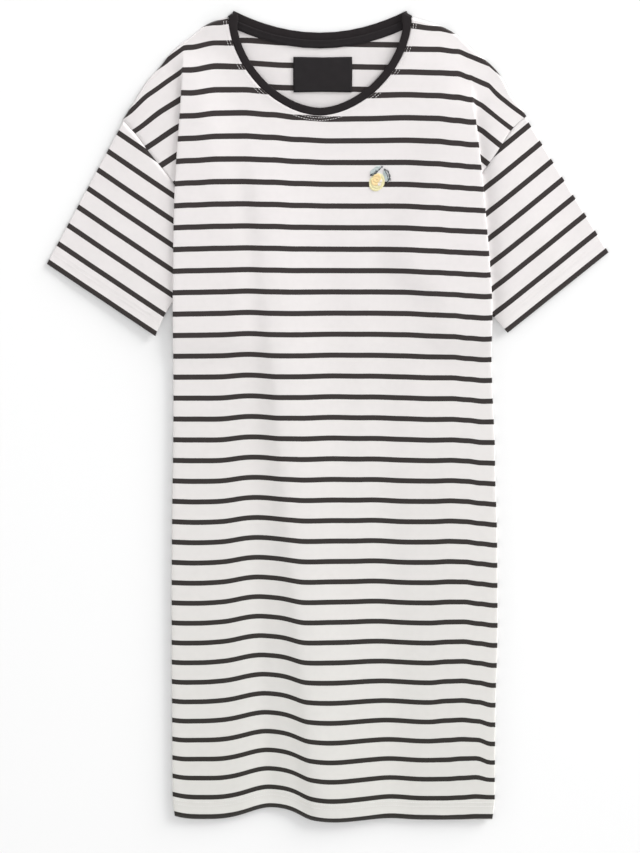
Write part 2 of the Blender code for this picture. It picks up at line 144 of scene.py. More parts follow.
# How far the front's stripes lie from straight rows after it was laid, counted up:
# y, then the drift at each place across, from the photo's left to its right
DRIFT_ACROSS = (
    -240.0, -205.0, -172.0, -145.0, -115.0, -85.0, -55.0, -25.0, 10.0,
    50.0, 95.0, 130.0, 152.0, 170.0, 188.0, 205.0, 240.0,
)
FRONT_DRIFTS = (
    (-485, 0.4, 0.4, 0.4, 0.5, 0.1, -0.6, -0.5, -0.1, -0.9, -0.8, 0.3, 0.4, -0.3, 0.2, 0.9, 1, 1),
    (-455, 1, 1, 1, 0.9, 0.4, 0.3, -0.1, 0.5, -0.4, -0.2, 0.6, 0.2, 0.1, 0.8, 2.1, 1.1, 1),
    (-410, -0.4, -0.4, -0.3, 0.6, 0, 0.2, -0.2, -0.2, -0.6, -0.2, 0, -0.4, -0.1, 1.3, 1.8, -3.9, -4),
    (-350, -1.3, -1.3, -1.3, -0.6, -0.2, 0.4, 0, -0.3, 0, 0, -0.5, -1.3, 0.5, 1.2, -0.7, -5.1, -5.1),
    (-240, -1.5, -1.5, -1.5, -1.3, -0.7, 0.8, 0, 0.4, 1.8, 1.1, -0.5, -0.8, 0.4, 0.6, -1.7, -4, -4),
    (-120, -0.6, -0.6, -0.6, -1.3, -1.3, 0.2, -0.1, 1.7, 2.4, 1.2, -0.4, -0.2, 0.7, -0.1, -2.4, -4.3, -4.3),
    (0, -0.9, -0.9, -0.9, -1.1, -1.7, -0.2, -0.6, 1.1, 2.1, 0.7, -0.4, -1.3, -1, -2.1, -4.2, -4.2, -4),
    (120, -1.1, -1.1, -1.1, -0.8, -0.5, 0.5, -0.3, -0.3, 0, -0.2, -0.8, -2, -2.4, -4.3, -5.6, -4.6, -2),
    (230, 1, 0.1, -1.2, -0.3, 0.5, 0.9, 0.6, -0.6, -1.2, -1.4, -1.3, -2.7, -4.2, -5, -5.8, -3, -2),
    (320, 2, 1.5, -1, 0.5, 2.2, 2.1, 1.1, -0.9, -2.2, -2.2, -2, -3, -4.8, -6.6, -7.5, -2.4, -2),
    (371, 3, 3.4, 0.1, 0.9, 3.6, 3.8, 1.8, -1.3, -3.3, -2.8, -1.6, -2.2, -4.3, -6.4, -4.3, -2.4, -2.2),
    (396, 0.4, 3, 2.1, 1.4, 4.6, 4.6, 2.5, 0, -1.6, -1.5, -0.8, -1.8, -3.5, -7, -7.3, -7.6, -6),
    (420, -5.3, 0.9, 2, 1.7, 5.5, 5, 3.7, 2.2, 0.9, 0, -0.6, -1.4, -2.4, -8.5, -17, -14, -12),
    (443, -10, -6.9, -6.1, 1.4, 7, 6.2, 6, 5.1, 3.7, 1.8, -0.2, -0.8, -3.4, -11.4, -19, -19, -18),
    (470, -15.5, -12.5, -7.6, -0.3, 3.7, 7.5, 7, 7, 5.8, 4.7, 1, -3.4, -8.4, -14.8, -20, -22, -22),
)

# The same for the inside of the back, which shows in the neck opening: x, drift
BACK_DRIFTS = ((-240.0, 0.0), (-82.0, 9.0), (-45.0, 6.4), (50.0, 4.3), (84.0, 3.8), (240.0, 0.0))
BACK_DRIFT_Y = 200.0
BACK_DRIFT_RUN = 150.0

# Soft creases in the back: x, y of one end, x, y of the other, half width left and
# right, height
CREASE_END = 80.0
CREASE_END_RUN = 130.0
BACK_FREE_X, BACK_FREE_X_RUN = 140.0, 40.0
BACK_FREE_Y, BACK_FREE_Y_RUN = 330.0, 60.0
BACK_CREASES = (
    (-70.0, -470.0, -96.0, 180.0, 22.0, 40.0, 0.5),
    (62.0, -470.0, 40.0, 240.0, 34.0, 20.0, 0.6),
    (-20.0, -200.0, 10.0, 300.0, 26.0, 26.0, 0.35),
)

MERGE = 0.02
LEAST_DROP = 0.01
HALVINGS = 50
SETTLING = 6
BEND_STEPS = 6
UNDER_STEPS = 6
CAP_STEPS = 20
LOWER_ROWS = 112
FRONT_NECK_ROWS = 18
BACK_NECK_ROWS = 9
CHEST_ROW_MOST = 0.024
ROW_MOST = 0.02
ROW_LEAST = 0.006
BACK_STEPS = 30


def smooth(t):
    t = min(1.0, max(0.0, t))
    return t * t * (3 - 2 * t)


def mix(a, b, t):
    return a + (b - a) * t


def through(rows, y, column):
    """Reads a column of a table at y, on a smooth curve through its rows."""
    last = len(rows) - 1
    k = 0
    while k < last - 1 and y > rows[k + 1][0]:
        k += 1
    span = rows[k + 1][0] - rows[k][0]

    def slope(i):
        low, high = max(0, i - 1), min(last, i + 1)
        return (rows[high][column] - rows[low][column]) / (rows[high][0] - rows[low][0])

    t = min(1.0, max(0.0, (y - rows[k][0]) / span))
    a, b = rows[k][column], rows[k + 1][column]
    bulge = mix(slope(k) * span - (b - a), (b - a) - slope(k + 1) * span, t)
    return mix(a, b, t) + t * (1 - t) * bulge


def edge(side, y):
    return through(EDGES, y, side.column)


def apex(side):
    return edge(side, side.apex_y), side.apex_y


def shoulder_y(side, x):
    return NECK_TOP_Y if x <= NECK_HALF else through(SHOULDERS, x, side.column)


def turned(side, x, y):
    """Turns a flat place round the apex of the shoulder fold, as the sleeve drops."""
    apex_x, apex_y = apex(side)
    radius = math.hypot(x - apex_x, y - apex_y)
    angle = math.atan2(x - apex_x, y - apex_y)
    share = smooth((math.degrees(angle) - TURN_START) / TURN_SPREAD)
    angle += math.radians(side.turn) * share
    return apex_x + radius * math.sin(angle), apex_y + radius * math.cos(angle)


def wedge_x(side, y):
    """Flat x of the hidden crease, which runs from the apex to the underarm."""
    apex_x, apex_y = apex(side)
    slope = (HALF_CHEST - apex_x) / (apex_y - UNDERARM_Y)
    opening = apex_x + slope * (apex_y - y) - edge(side, y)
    return edge(side, y) + math.hypot(FOLD_LEAST, max(0.0, opening))


def side_seam_x(side, y):
    flare = HEM_FLARE * (UNDERARM_Y - y) / (UNDERARM_Y - HEM_Y)
    return wedge_x(side, UNDERARM_Y) + flare


def hem_wave(side, x, y):
    across = side.sign * x
    rise = y - HEM_Y
    lift = 0.0
    for centre, left, right, height in HEM_WAVES:
        off = across - centre + WAVE_LEAN * rise
        off /= left if off < 0 else right
        lift += height * math.exp(-off * off)
    return lift * math.exp(-rise / WAVE_FADE) * smooth((UNDERARM_Y - y) / WAVE_TOP_RUN)


def stacked(side, y):
    """How fully the folded shoulder lies under the body at this height, 0 to 1."""
    return smooth((side.apex_y + APEX_ABOVE - y) / STACK_RUN)


def outside(side, x, y):
    """How far a place lies clear of the body's folded edge, 0 to 1."""
    return smooth((x - edge(side, y) - EDGE_CLEAR) / DROP_WIDTH)


def cap_z(side, x, y, base):
    """Height of the shoulder cap and the sleeve, which drop to the floor outside.

    Beside the body's folded edge they sink into a soft valley first.
    """
    beyond = x - edge(side, y)
    valley = smooth((beyond + VALLEY_LEAD) / VALLEY_RAMP)
    valley *= math.exp(-((beyond / VALLEY_WIDTH) ** 2))
    height = SLEEVE_STACK * (1 - outside(side, x, y)) - VALLEY_DEPTHS[side.name] * valley
    return base + max(0.0, height) * stacked(side, y)


def creased(creases, x, y):
    """Height of the hand-laid creases at a place, with one flank wider than the other."""
    height = 0.0
    for low_x, low_y, high_x, high_y, left, right, rise in creases:
        centre = mix(low_x, high_x, (y - low_y) / (high_y - low_y))
        off = (x - centre) / (left if x < centre else right)
        above = smooth((high_y + CREASE_END - y) / CREASE_END_RUN)
        below = smooth((y - low_y + CREASE_END) / CREASE_END_RUN)
        height += rise * math.exp(-off * off) * above * below
    return height


def back_z(side, x, y):
    free = smooth((BACK_FREE_X - x) / BACK_FREE_X_RUN) * smooth((BACK_FREE_Y - y) / BACK_FREE_Y_RUN)
    return BACK_Z + creased(BACK_CREASES, side.sign * x, y) * free


def along(pairs, at):
    """Reads the second of a list of pairs at a value of the first."""
    k = 0
    while k < len(pairs) - 2 and at > pairs[k + 1][0]:
        k += 1
    (a, low), (b, high) = pairs[k][:2], pairs[k + 1][:2]
    return mix(low, high, min(1.0, max(0.0, (at - a) / (b - a))))


def front_drift(across, y):
    columns = []
    for i, x in enumerate(DRIFT_ACROSS):
        columns.append((x, i + 1))
    share = along(columns, across)
    left = min(len(DRIFT_ACROSS) - 1, int(share))
    near = smooth(share - left)
    return mix(through(FRONT_DRIFTS, y, left), through(FRONT_DRIFTS, y, left + 1), near)


def back_drift(across, y):
    return along(BACK_DRIFTS, across) * smooth((y - BACK_DRIFT_Y) / BACK_DRIFT_RUN)


def spread(points, count):
    """Sets count points at even steps along a path that starts at the origin."""
    path = [(0.0, 0.0)] + points
    lengths = [0.0]
    for a, b in zip(path, path[1:]):
        lengths.append(lengths[-1] + math.dist(a, b))
    even = []
    k = 0
    for i in range(1, count + 1):
        goal = lengths[-1] * i / count
        while k < len(path) - 2 and lengths[k + 1] < goal:
            k += 1
        t = (goal - lengths[k]) / (lengths[k + 1] - lengths[k])
        even.append((mix(path[k][0], path[k + 1][0], t), mix(path[k][1], path[k + 1][1], t)))
    return even


def fold_profile(reach, drop):
    """A section through two bends and the layer between, as distances out and down."""
    drop = max(drop, LEAST_DROP)
    radius = BEND if reach >= 2 * BEND else drop / 4
    if reach <= 0:
        turn = math.pi
        run = -reach
    else:
        low, high = 1e-4, math.acos(max(-1.0, 1 - drop / (2 * radius)))
        for _ in range(HALVINGS):
            turn = (low + high) / 2
            run = (drop - 2 * radius * (1 - math.cos(turn))) / math.sin(turn)
            if 2 * radius * math.sin(turn) + run * math.cos(turn) > reach:
                low = turn
            else:
                high = turn
    points = []
    for i in range(1, BEND_STEPS + 1):
        a = turn * i / BEND_STEPS
        points.append((radius * math.sin(a), radius * (1 - math.cos(a))))
    start = points[-1]
    for i in range(1, UNDER_STEPS + 1):
        gone = run * i / UNDER_STEPS
        points.append((start[0] + gone * math.cos(turn), start[1] + gone * math.sin(turn)))
    for i in range(BEND_STEPS - 1, -1, -1):
        a = turn * i / BEND_STEPS
        points.append((reach - radius * math.sin(a), drop - radius * (1 - math.cos(a))))
    return points if reach <= 0 else spread(points, len(points))


class Panel:
    """What differs between the front and the back panel."""

    def __init__(self, direction, base, neck_depth, neck_round, neck_fall, steps, height, drift):
        self.direction = direction
        self.base = base
        self.neck_depth = neck_depth
        self.neck_round = neck_round
        self.neck_fall = neck_fall
        self.steps = steps
        self.height = height
        self.drift = drift

    def flat_place(self, side, x, y):
        """Where the jersey was before it was laid, across and up from the hem, in metres."""
        across = side.sign * x
        return across * MM, (y - self.drift(across, y) - HEM_Y) * MM

    def row_y(self, side, share, x):
        return mix(UNDERARM_Y, shoulder_y(side, x) - ROLL, share)

    def neck_x(self, y):
        down = (NECK_TOP_Y - ROLL - y) / self.neck_depth
        if down >= 1:
            return 0.0
        return NECK_HALF * (1 - max(0.0, down) ** self.neck_fall) ** (1 / self.neck_round)

    def neck_bottom(self):
        return 1 - self.neck_depth / (NECK_TOP_Y - ROLL - UNDERARM_Y)

    def crease_x(self, side, y):
        inset = BACK_INSET * smooth((side.apex_y - y - INSET_BELOW) / INSET_RUN) * (self.direction > 0)
        return edge(side, y) - FOLD_REACH - inset


BACK = Panel(1, BACK_Z, BACK_NECK_DEPTH, 2.0, 1.0, BACK_STEPS, back_z, back_drift)


def body_points(panel, side, row_y, inner_x, outer_x):
    points = []
    for j in range(panel.steps + 1):
        x = mix(inner_x, outer_x, j / panel.steps)
        y = row_y(x)
        z = panel.height(side, x, y)
        cloth = panel.flat_place(side, x, y)
        if y > side.apex_y:
            x, y = turned(side, x, y)
        points.append((x, y + hem_wave(side, x, y), z, *cloth))
    return points


def lower_row(panel, side, y):
    """Half a row below the underarm: body, folded edge, and the cloth tucked under."""
    if panel.direction > 0:
        y = max(y, HEM_Y + BACK_SHORTER)
    points = body_points(panel, side, lambda x: y, 0.0, panel.crease_x(side, y))
    x0, y0, z0, u0, v0 = points[-1]
    depth = side_seam_x(side, y) - edge(side, y)
    profile = fold_profile(-depth, 4 * BEND)[: BEND_STEPS + UNDER_STEPS]
    travelled = 0.0
    before = (0.0, 0.0)
    for out, down in profile:
        travelled += math.dist(before, (out, down))
        before = (out, down)
        u = u0 + side.sign * travelled * MM
        points.append((x0 + out, y0, z0 + panel.direction * down, u, v0))
    return points


def armhole_x(side, share):
    x = ARMHOLES[0][side.column]
    for _ in range(SETTLING):
        x = through(ARMHOLES, BACK.row_y(side, share, x), side.column)
    return x


def upper_row(panel, side, share):
    """Half a row of the upper body, on through the shoulder fold to the armhole."""

    def row_y(x):
        return panel.row_y(side, share, x)

    level = row_y(0.0)
    crease_x = edge(side, level)
    wedge = crease_x
    for _ in range(SETTLING):
        crease_x = panel.crease_x(side, row_y(crease_x))
        wedge = wedge_x(side, row_y(wedge))
    points = body_points(panel, side, row_y, panel.neck_x(level), crease_x)
    x0, y0, z0, u0, v0 = points[-1]
    x1, y1 = turned(side, wedge, row_y(wedge))
    u1, v1 = panel.flat_place(side, wedge, row_y(wedge))
    drop = panel.direction * (cap_z(side, x1, y1, panel.base) - z0)
    profile = fold_profile(x1 - x0, drop)
    travelled = [0.0]
    for a, b in zip([(0.0, 0.0)] + profile, profile):
        travelled.append(travelled[-1] + math.dist(a, b))
    for (out, down), length in zip(profile, travelled[1:]):
        t = length / travelled[-1]
        z = z0 + panel.direction * down
        points.append((x0 + out, mix(y0, y1, t), z, mix(u0, u1, t), mix(v0, v1, t)))
    arm_x = armhole_x(side, share)
    for i in range(1, CAP_STEPS + 1):
        flat_x = mix(wedge, arm_x, i / CAP_STEPS)
        x, y = turned(side, flat_x, row_y(flat_x))
        dip = SEAM_DIP * smooth((flat_x - arm_x + SEAM_DIP_RUN) / SEAM_DIP_RUN)
        z = cap_z(side, x, y, panel.base) + panel.direction * dip
        points.append((x, y, z, *panel.flat_place(side, flat_x, row_y(flat_x))))
    return points


def neck_shares(panel, rows):
    shares = []
    for i in range(rows, -1, -1):
        down = math.sin(math.pi / 2 * i / rows) ** (2 / panel.neck_fall)
        shares.append(mix(1.0, panel.neck_bottom(), down))
    return shares


def row_shares():
    """Rows of the upper body, the same on both panels so that their layers match."""
    back_neck = neck_shares(BACK, BACK_NECK_ROWS)
    front_neck = [s for s in neck_shares(FRONT, FRONT_NECK_ROWS) if s < back_neck[0] - ROW_LEAST]
    shares = [0.0]
    for goal in front_neck + back_neck:
        low = shares[-1]
        most = CHEST_ROW_MOST if low == 0 else ROW_MOST
        parts = math.ceil((goal - low) / most)
        shares += [mix(low, goal, (i + 1) / parts) for i in range(parts)]
    return shares


def half_panel(panel, side):
    rows = []
    for i in range(LOWER_ROWS):
        rows.append(lower_row(panel, side, mix(HEM_Y, UNDERARM_Y, i / LOWER_ROWS)))
    for share in SHARES:
        most = 1.0 if panel.direction < 0 else 1 - SEAM_INSET / (NECK_TOP_Y - UNDERARM_Y)
        rows.append(upper_row(panel, side, min(share, most)))
    return rows


def cloth_piece(name, patches, wall, mat):
    """Joins grids of points (x, y, z, u, v) into one cloth and gives it its wall."""
    mesh = bpy.data.meshes.new(name)
    bm = bmesh.new()
    flat = bm.loops.layers.uv.new("Cloth")
    for side, rows in patches:
        grid = []
        for row in rows:
            places = [(side.sign * p[0] * MM, p[1] * MM, p[2] * MM) for p in row]
            grid.append([(bm.verts.new(place), p) for place, p in zip(places, row)])
        for low, high in zip(grid, grid[1:]):
            for j in range(min(len(low), len(high)) - 1):
                corners = [low[j], low[j + 1], high[j + 1], high[j]]
                if side.sign < 0:
                    corners.reverse()
                face = bm.faces.new([vert for vert, _ in corners])
                face.smooth = True
                for loop, (_, p) in zip(face.loops, corners):
                    loop[flat].uv = (p[3], p[4])
    bmesh.ops.remove_doubles(bm, verts=bm.verts, dist=MERGE * MM)
    bmesh.ops.recalc_face_normals(bm, faces=bm.faces)
    bm.to_mesh(mesh)
    bm.free()
    sheet = bpy.data.objects.new(name, mesh)
    bpy.context.scene.collection.objects.link(sheet)
    shell = sheet.modifiers.new("Wall", "SOLIDIFY")
    shell.thickness = wall * MM
    shell.offset = 0.0
    return finished(sheet, mat)


def finished(obj, mat):
    """Keeps what the modifiers make as the piece's own mesh."""
    graph = bpy.context.evaluated_depsgraph_get()
    made = bpy.data.meshes.new_from_object(obj.evaluated_get(graph))
    obj.modifiers.clear()
    obj.data = made
    made.materials.clear()
    made.materials.append(mat)
    return obj


def add(tree, kind, inputs=None, **settings):
    """Adds a node. Each of its inputs is a plain value or the output of another node."""
    node = tree.nodes.new(kind)
    for name, value in settings.items():
        setattr(node, name, value)
    for name, value in (inputs or {}).items():
        if isinstance(value, bpy.types.NodeSocket):
            tree.links.new(value, node.inputs[name])
        else:
            node.inputs[name].default_value = value
    return node


def new_group(name, kind, inputs, outputs):
    """A node group with these sockets, and the ends that its own nodes are joined to."""
    group = bpy.data.node_groups.new(name, kind)
    for label, sort in inputs.items():
        group.interface.new_socket(label, in_out="INPUT", socket_type=sort)
    for label, sort in outputs.items():
        group.interface.new_socket(label, in_out="OUTPUT", socket_type=sort)
    return group, add(group, "NodeGroupInput").outputs, add(group, "NodeGroupOutput").inputs


def stripe_group():
    """Even stripes across the cloth, counted up from the hem, with slightly soft edges."""
    group, given, result = new_group(
        "Yarn-dyed stripes",
        "ShaderNodeTree",
        {"Cloth": "NodeSocketVector", "Repeat": "NodeSocketFloat", "Width": "NodeSocketFloat"},
        {"Stripe": "NodeSocketFloat"},
    )

    def worked(kind, a, b, clamp=False):
        return add(group, "ShaderNodeMath", {0: a, 1: b}, operation=kind, use_clamp=clamp).outputs[0]

    up = add(group, "ShaderNodeSeparateXYZ", {0: given["Cloth"]}).outputs[1]
    noise = {"Vector": given["Cloth"], "Scale": EDGE_NOISE_SCALE}
    ragged = add(group, "ShaderNodeTexNoise", noise).outputs[0]
    height = worked("ADD", up, worked("MULTIPLY", ragged, EDGE_RAGGED * MM))
    row = worked("FLOORED_MODULO", height, given["Repeat"])
    middle = worked("MULTIPLY", given["Width"], 0.5)
    off = worked("ABSOLUTE", worked("SUBTRACT", row, middle), 0.0)
    sharp = worked("MULTIPLY", worked("SUBTRACT", middle, off), EDGE_SHARPNESS)
    group.links.new(worked("ADD", sharp, 0.5, clamp=True), result["Stripe"])
    return group


def knit_group():
    """The face of a fine jersey: upright columns of stitches crossed by rows of loops."""
    group, given, result = new_group(
        "Jersey knit",
        "ShaderNodeTree",
        {"Cloth": "NodeSocketVector"},
        {"Height": "NodeSocketFloat", "Mottle": "NodeSocketFloat"},
    )
    waves = []
    for direction, scale in (("X", KNIT_COLUMNS), ("Y", KNIT_ROWS)):
        inputs = {"Vector": given["Cloth"], "Scale": scale, "Distortion": 1.2, "Detail": 1.0}
        wave = add(group, "ShaderNodeTexWave", inputs, bands_direction=direction, wave_profile="SIN")
        waves.append(wave.outputs["Fac"])
    loops = add(group, "ShaderNodeMath", {0: waves[0], 1: waves[1]}, operation="MULTIPLY")
    noise = {"Vector": given["Cloth"], "Scale": MOTTLE_SCALE, "Detail": 4.0}
    mottle = add(group, "ShaderNodeTexNoise", noise)
    group.links.new(loops.outputs[0], result["Height"])
    group.links.new(mottle.outputs[0], result["Mottle"])
    return group


def new_material(name, surface):
    """A material with these values on its shader's own sockets."""
    mat = bpy.data.materials.new(name)
    mat.use_nodes = True
    shader = mat.node_tree.nodes["Principled BSDF"]
    for socket, value in surface.items():
        shader.inputs[socket].default_value = value
    return mat, mat.node_tree, shader


def ranged(tree, value, lows, highs):
    """Maps a value from one range to another: lows and highs are each (from, to)."""
    inputs = {"Value": value, "From Min": lows[0], "To Min": lows[1]}
    inputs.update({"From Max": highs[0], "To Max": highs[1]})
    return add(tree, "ShaderNodeMapRange", inputs).outputs[0]


def blended(tree, factor, a, b, kind="MIX"):
    """Mixes or multiplies two colours, each a colour or the output of another node."""
    inputs = {"Factor": factor}
    for name, value in (("A", a), ("B", b)):
        inputs[name] = (*value, 1.0) if isinstance(value, tuple) else value
    return add(tree, "ShaderNodeMix", inputs, data_type="RGBA", blend_type=kind).outputs["Result"]


def bumped(tree, shader, height, strength, distance):
    inputs = {"Strength": strength, "Distance": distance * MM, "Height": height}
    tree.links.new(add(tree, "ShaderNodeBump", inputs).outputs[0], shader.inputs["Normal"])


STRIPE_REPEAT = 25.0
STRIPE_WIDTH = 6.3
EDGE_RAGGED = 0.4
EDGE_NOISE_SCALE = 900.0
EDGE_SHARPNESS = 3000.0
KNIT_COLUMNS = 360.0
KNIT_ROWS = 480.0
MOTTLE_SCALE = 140.0
MOTTLE_SHARE = 0.06
SINGLE_TONE = 0.955
DOUBLE_TONE = 0.975
STRIPES = stripe_group()
KNIT = knit_group()

# Painted shade: the cloth's white and black are darkened towards the hem in place of light that falls off
# downwards, so the colours are mixed by height; the chest colours are the cloth's own
CHEST_WHITE = (0.680, 0.651, 0.648)
HEM_WHITE_IN_PAINTED_SHADE = (0.602, 0.595, 0.566)
CHEST_BLACK = (0.031, 0.025, 0.0245)
HEM_BLACK_IN_PAINTED_SHADE = (0.0210, 0.0185, 0.0155)


def jersey(name, turn_up):
    """Striped cotton jersey, with its turned-up edge doubled and topstitched; painted shade darkens its
    colours towards the hem.
    """
    surface = {"Roughness": 0.9, "Sheen Weight": 0.12, "Sheen Roughness": 0.5, "Specular IOR Level": 0.2}
    mat, tree, shader = new_material(name, surface)
    place = add(tree, "ShaderNodeTexCoord").outputs["Object"]
    garment_y = add(tree, "ShaderNodeSeparateXYZ", {0: place}).outputs[1]
    # Painted shade: the white and the black darken from the chest down to the hem
    height = ranged(tree, garment_y, (HEM_Y * MM, 0.0), (UNDERARM_Y * MM, 1.0))
    white = blended(tree, height, HEM_WHITE_IN_PAINTED_SHADE, CHEST_WHITE)
    black = blended(tree, height, HEM_BLACK_IN_PAINTED_SHADE, CHEST_BLACK)
    cloth = add(tree, "ShaderNodeUVMap", uv_map="Cloth").outputs[0]
    counted = {"Cloth": cloth, "Repeat": STRIPE_REPEAT * MM, "Width": STRIPE_WIDTH * MM}
    stripes = add(tree, "ShaderNodeGroup", counted, node_tree=STRIPES)
    knit = add(tree, "ShaderNodeGroup", {"Cloth": cloth}, node_tree=KNIT)
    up = add(tree, "ShaderNodeSeparateXYZ", {0: cloth}).outputs[1]
    single, double = ((turn_up + 1) * MM, SINGLE_TONE), ((turn_up - 1) * MM, DOUBLE_TONE)
    doubled = ranged(tree, up, single, double)
    mottled = {0: knit.outputs["Mottle"], 1: MOTTLE_SHARE, 2: doubled}
    uneven = add(tree, "ShaderNodeMath", mottled, operation="MULTIPLY_ADD").outputs[0]
    shaded = blended(tree, 1.0, white, uneven, "MULTIPLY")
    dyed = blended(tree, stripes.outputs["Stripe"], shaded, black)
    tree.links.new(dyed, shader.inputs["Base Color"])
    bumped(tree, shader, knit.outputs["Height"], 0.35, 0.25)
    return mat


# The front panel shares the rows of the back, so its shape is named here
FRONT_STEPS = 48
CREASE_BASE = 3.0
NECK_LIFT = 2.8
NECK_SLOPE = 55.0
LIP_SHARE = 0.15
LIP_CLOTH = 2.0
RELIEF_CLEAR = 6.0
RELIEF_RUN = 50.0
RELIEF_LEAST = 0.6
RELIEF_TOP_RUN = 60.0
TUCK_RISE_RUN = 32.0
DEPTH_BELOW, DEPTH_RUN = 70.0, 60.0
SLEEVE_LOW, SLEEVE_LOW_RUN = 80.0, 40.0

# Soft creases down the front: x, y of one end, x, y of the other, half width left and
# right, height
FRONT_CREASES = (
    (-2.0, -485.0, -72.0, 300.0, 16.0, 52.0, 3.6),
    (-64.0, -485.0, -104.0, 260.0, 36.0, 18.0, -1.9),
    (-142.0, -485.0, -138.0, 160.0, 26.0, 30.0, 1.0),
    (198.0, -470.0, 162.0, 300.0, 24.0, 16.0, 2.4),
    (96.0, -485.0, 70.0, 60.0, 26.0, 22.0, -0.9),
    (-118.0, 40.0, -96.0, 330.0, 14.0, 26.0, 0.7),
    (60.0, -40.0, 30.0, 250.0, 20.0, 30.0, 0.6),
    (112.0, 60.0, 128.0, 360.0, 26.0, 18.0, 0.6),
)


def hidden_depth(side, y):
    """How far in from the body's folded edge the layers under it reach."""
    if y >= UNDERARM_Y:
        return edge(side, y) - turned(side, wedge_x(side, y), y)[0]
    below = side_seam_x(side, y) - edge(side, y)
    near = smooth((y - UNDERARM_Y + DEPTH_BELOW) / DEPTH_RUN)
    return mix(below, hidden_depth(side, UNDERARM_Y), near)


def sleeve_under(y):
    """Whether the sleeve still lies inside the body's edge at this height, 0 to 1."""
    return smooth((y - SLEEVE_LOW) / SLEEVE_LOW_RUN)


def edge_z(side, y):
    cap = stacked(side, y - CREASE_DROP)
    tucked = smooth((side.apex_y + APEX_ABOVE - y) / TUCK_RISE_RUN) * sleeve_under(y)
    return FRONT_Z + SLEEVE_STACK * (cap + tucked)


def neck_rise(x, y):
    down = max(0.0, NECK_TOP_Y - y) / FRONT_NECK_DEPTH
    ring = ((x / NECK_HALF) ** 2 + down**2) ** 0.5
    return NECK_LIFT * smooth(1 - (ring - 1) * NECK_HALF / NECK_SLOPE)


def front_z(side, x, y):
    inner = smooth((edge(side, y) - x - hidden_depth(side, y) - RELIEF_CLEAR) / RELIEF_RUN)
    relief = CREASE_BASE + creased(FRONT_CREASES, side.sign * x, y)
    relief = max(RELIEF_LEAST, relief) * smooth((NECK_TOP_Y - y) / RELIEF_TOP_RUN)
    middle = FRONT_Z + max(relief, neck_rise(x, y))
    return mix(max(edge_z(side, y), FRONT_Z + neck_rise(x, y)), middle, inner)


FRONT = Panel(
    -1, FRONT_Z, FRONT_NECK_DEPTH, NECK_ROUND, NECK_ROUND, FRONT_STEPS, front_z, front_drift
)
SHARES = row_shares()
HEM_TURN_UP = 26.0
BODY_JERSEY = jersey("Striped jersey", HEM_TURN_UP)

back_halves = [(side, half_panel(BACK, side)) for side in SIDES]
back_panel = cloth_piece("back_panel", back_halves, WALL, BODY_JERSEY)
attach(back_panel, "root")
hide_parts("back")


# Front panel. The same jersey with a deeper round neck, cut in one with its drop
# shoulders; its sides are folded under, and it bears the creases that the photo shows.
def lip_row(row):
    """The cloth rolled down over the shoulder seam, one step beyond the last row."""
    points = []
    for j, (x, y, z, u, v) in enumerate(row):
        ax, ay = row[max(0, j - 1)][:2]
        bx, by = row[min(len(row) - 1, j + 1)][:2]
        length = math.hypot(bx - ax, by - ay) or 1.0
        out_x, out_y = -(by - ay) / length, (bx - ax) / length
        points.append((x + out_x, y + out_y, mix(LIP_Z, z, LIP_SHARE), u, v + LIP_CLOTH * MM))
    return points


def front_half(side):
    rows = half_panel(FRONT, side)
    return rows + [lip_row(rows[-1])]


front_halves = [(side, front_half(side)) for side in SIDES]
front_panel = cloth_piece("front_panel", front_halves, WALL, BODY_JERSEY)
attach(front_panel, "root")
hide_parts("front")


# Sleeves. Each is one piece of the jersey with the stripes along its cuff, closed by a
# seam under the arm, seamed to the drop shoulder and turned up at the cuff.
SLEEVE_RINGS = 44
SLEEVE_PUFF = 1.2
PUFF_RUN = 0.35
CREASE_FADE = 0.1
SEAM_GAP = 0.35
SLEEVE_DIP = 0.25
SLEEVE_DIP_RUN = 0.05
CUFF_TURN_UP = 22.0
SLEEVE_REPEAT_SHARE = 0.963
SLEEVE_JERSEY = jersey("Striped sleeve jersey", CUFF_TURN_UP)

# Creases over the sleeves: share across from the outer fold, share along from the seam,
# half width across and along, height
SLEEVE_CREASES = {
    "left": ((0.30, 0.45, 0.12, 0.5, 1.1), (0.72, 0.70, 0.10, 0.4, 0.8)),
    "right": ((0.38, 0.50, 0.14, 0.5, 1.0), (0.80, 0.45, 0.09, 0.4, 0.7)),
}


def sleeve_place(side, q, t):
    """A place on the laid sleeve: q from outer fold to underarm, t from seam to cuff."""
    arm_x = armhole_x(side, 1 - q)
    seam = turned(side, arm_x, BACK.row_y(side, 1 - q, arm_x))
    cuff = [mix(a, b, q) for a, b in zip(side.cuff_outer, side.cuff_inner)]
    run = math.dist(seam, cuff)
    t = mix(SEAM_GAP / run, 1.0, t)
    bow = side.bow * 4 * t * (1 - t) * q * q
    along_x, along_y = (cuff[0] - seam[0]) / run, (cuff[1] - seam[1]) / run
    return mix(seam[0], cuff[0], t) - bow * along_y, mix(seam[1], cuff[1], t) + bow * along_x


def from_cuff(side, x, y):
    """Across and up from the cuff line, in metres, for a place on the laid sleeve."""
    ax, ay = side.cuff_outer
    bx, by = side.cuff_inner
    length = math.hypot(bx - ax, by - ay)
    along_x, along_y = (bx - ax) / length, (by - ay) / length
    across = (x - ax) * along_x + (y - ay) * along_y
    up = (x - ax) * along_y - (y - ay) * along_x
    return across * MM, up / SLEEVE_REPEAT_SHARE * MM


def sleeve_top_z(side, q, t, x, y, inset):
    puff = SLEEVE_PUFF * math.sin(math.pi * (q - inset) / (1 - 2 * inset)) * smooth(t / PUFF_RUN)
    for across, along, wide, long, rise in SLEEVE_CREASES[side.name]:
        off = ((q - across) / wide) ** 2 + ((t - along) / long) ** 2
        puff += rise * math.exp(-off) * smooth((q - inset) / CREASE_FADE)
    dip = SLEEVE_DIP * (1 - smooth(t / SLEEVE_DIP_RUN))
    return cap_z(side, x, y, FRONT_Z) + puff * outside(side, x, y) - dip


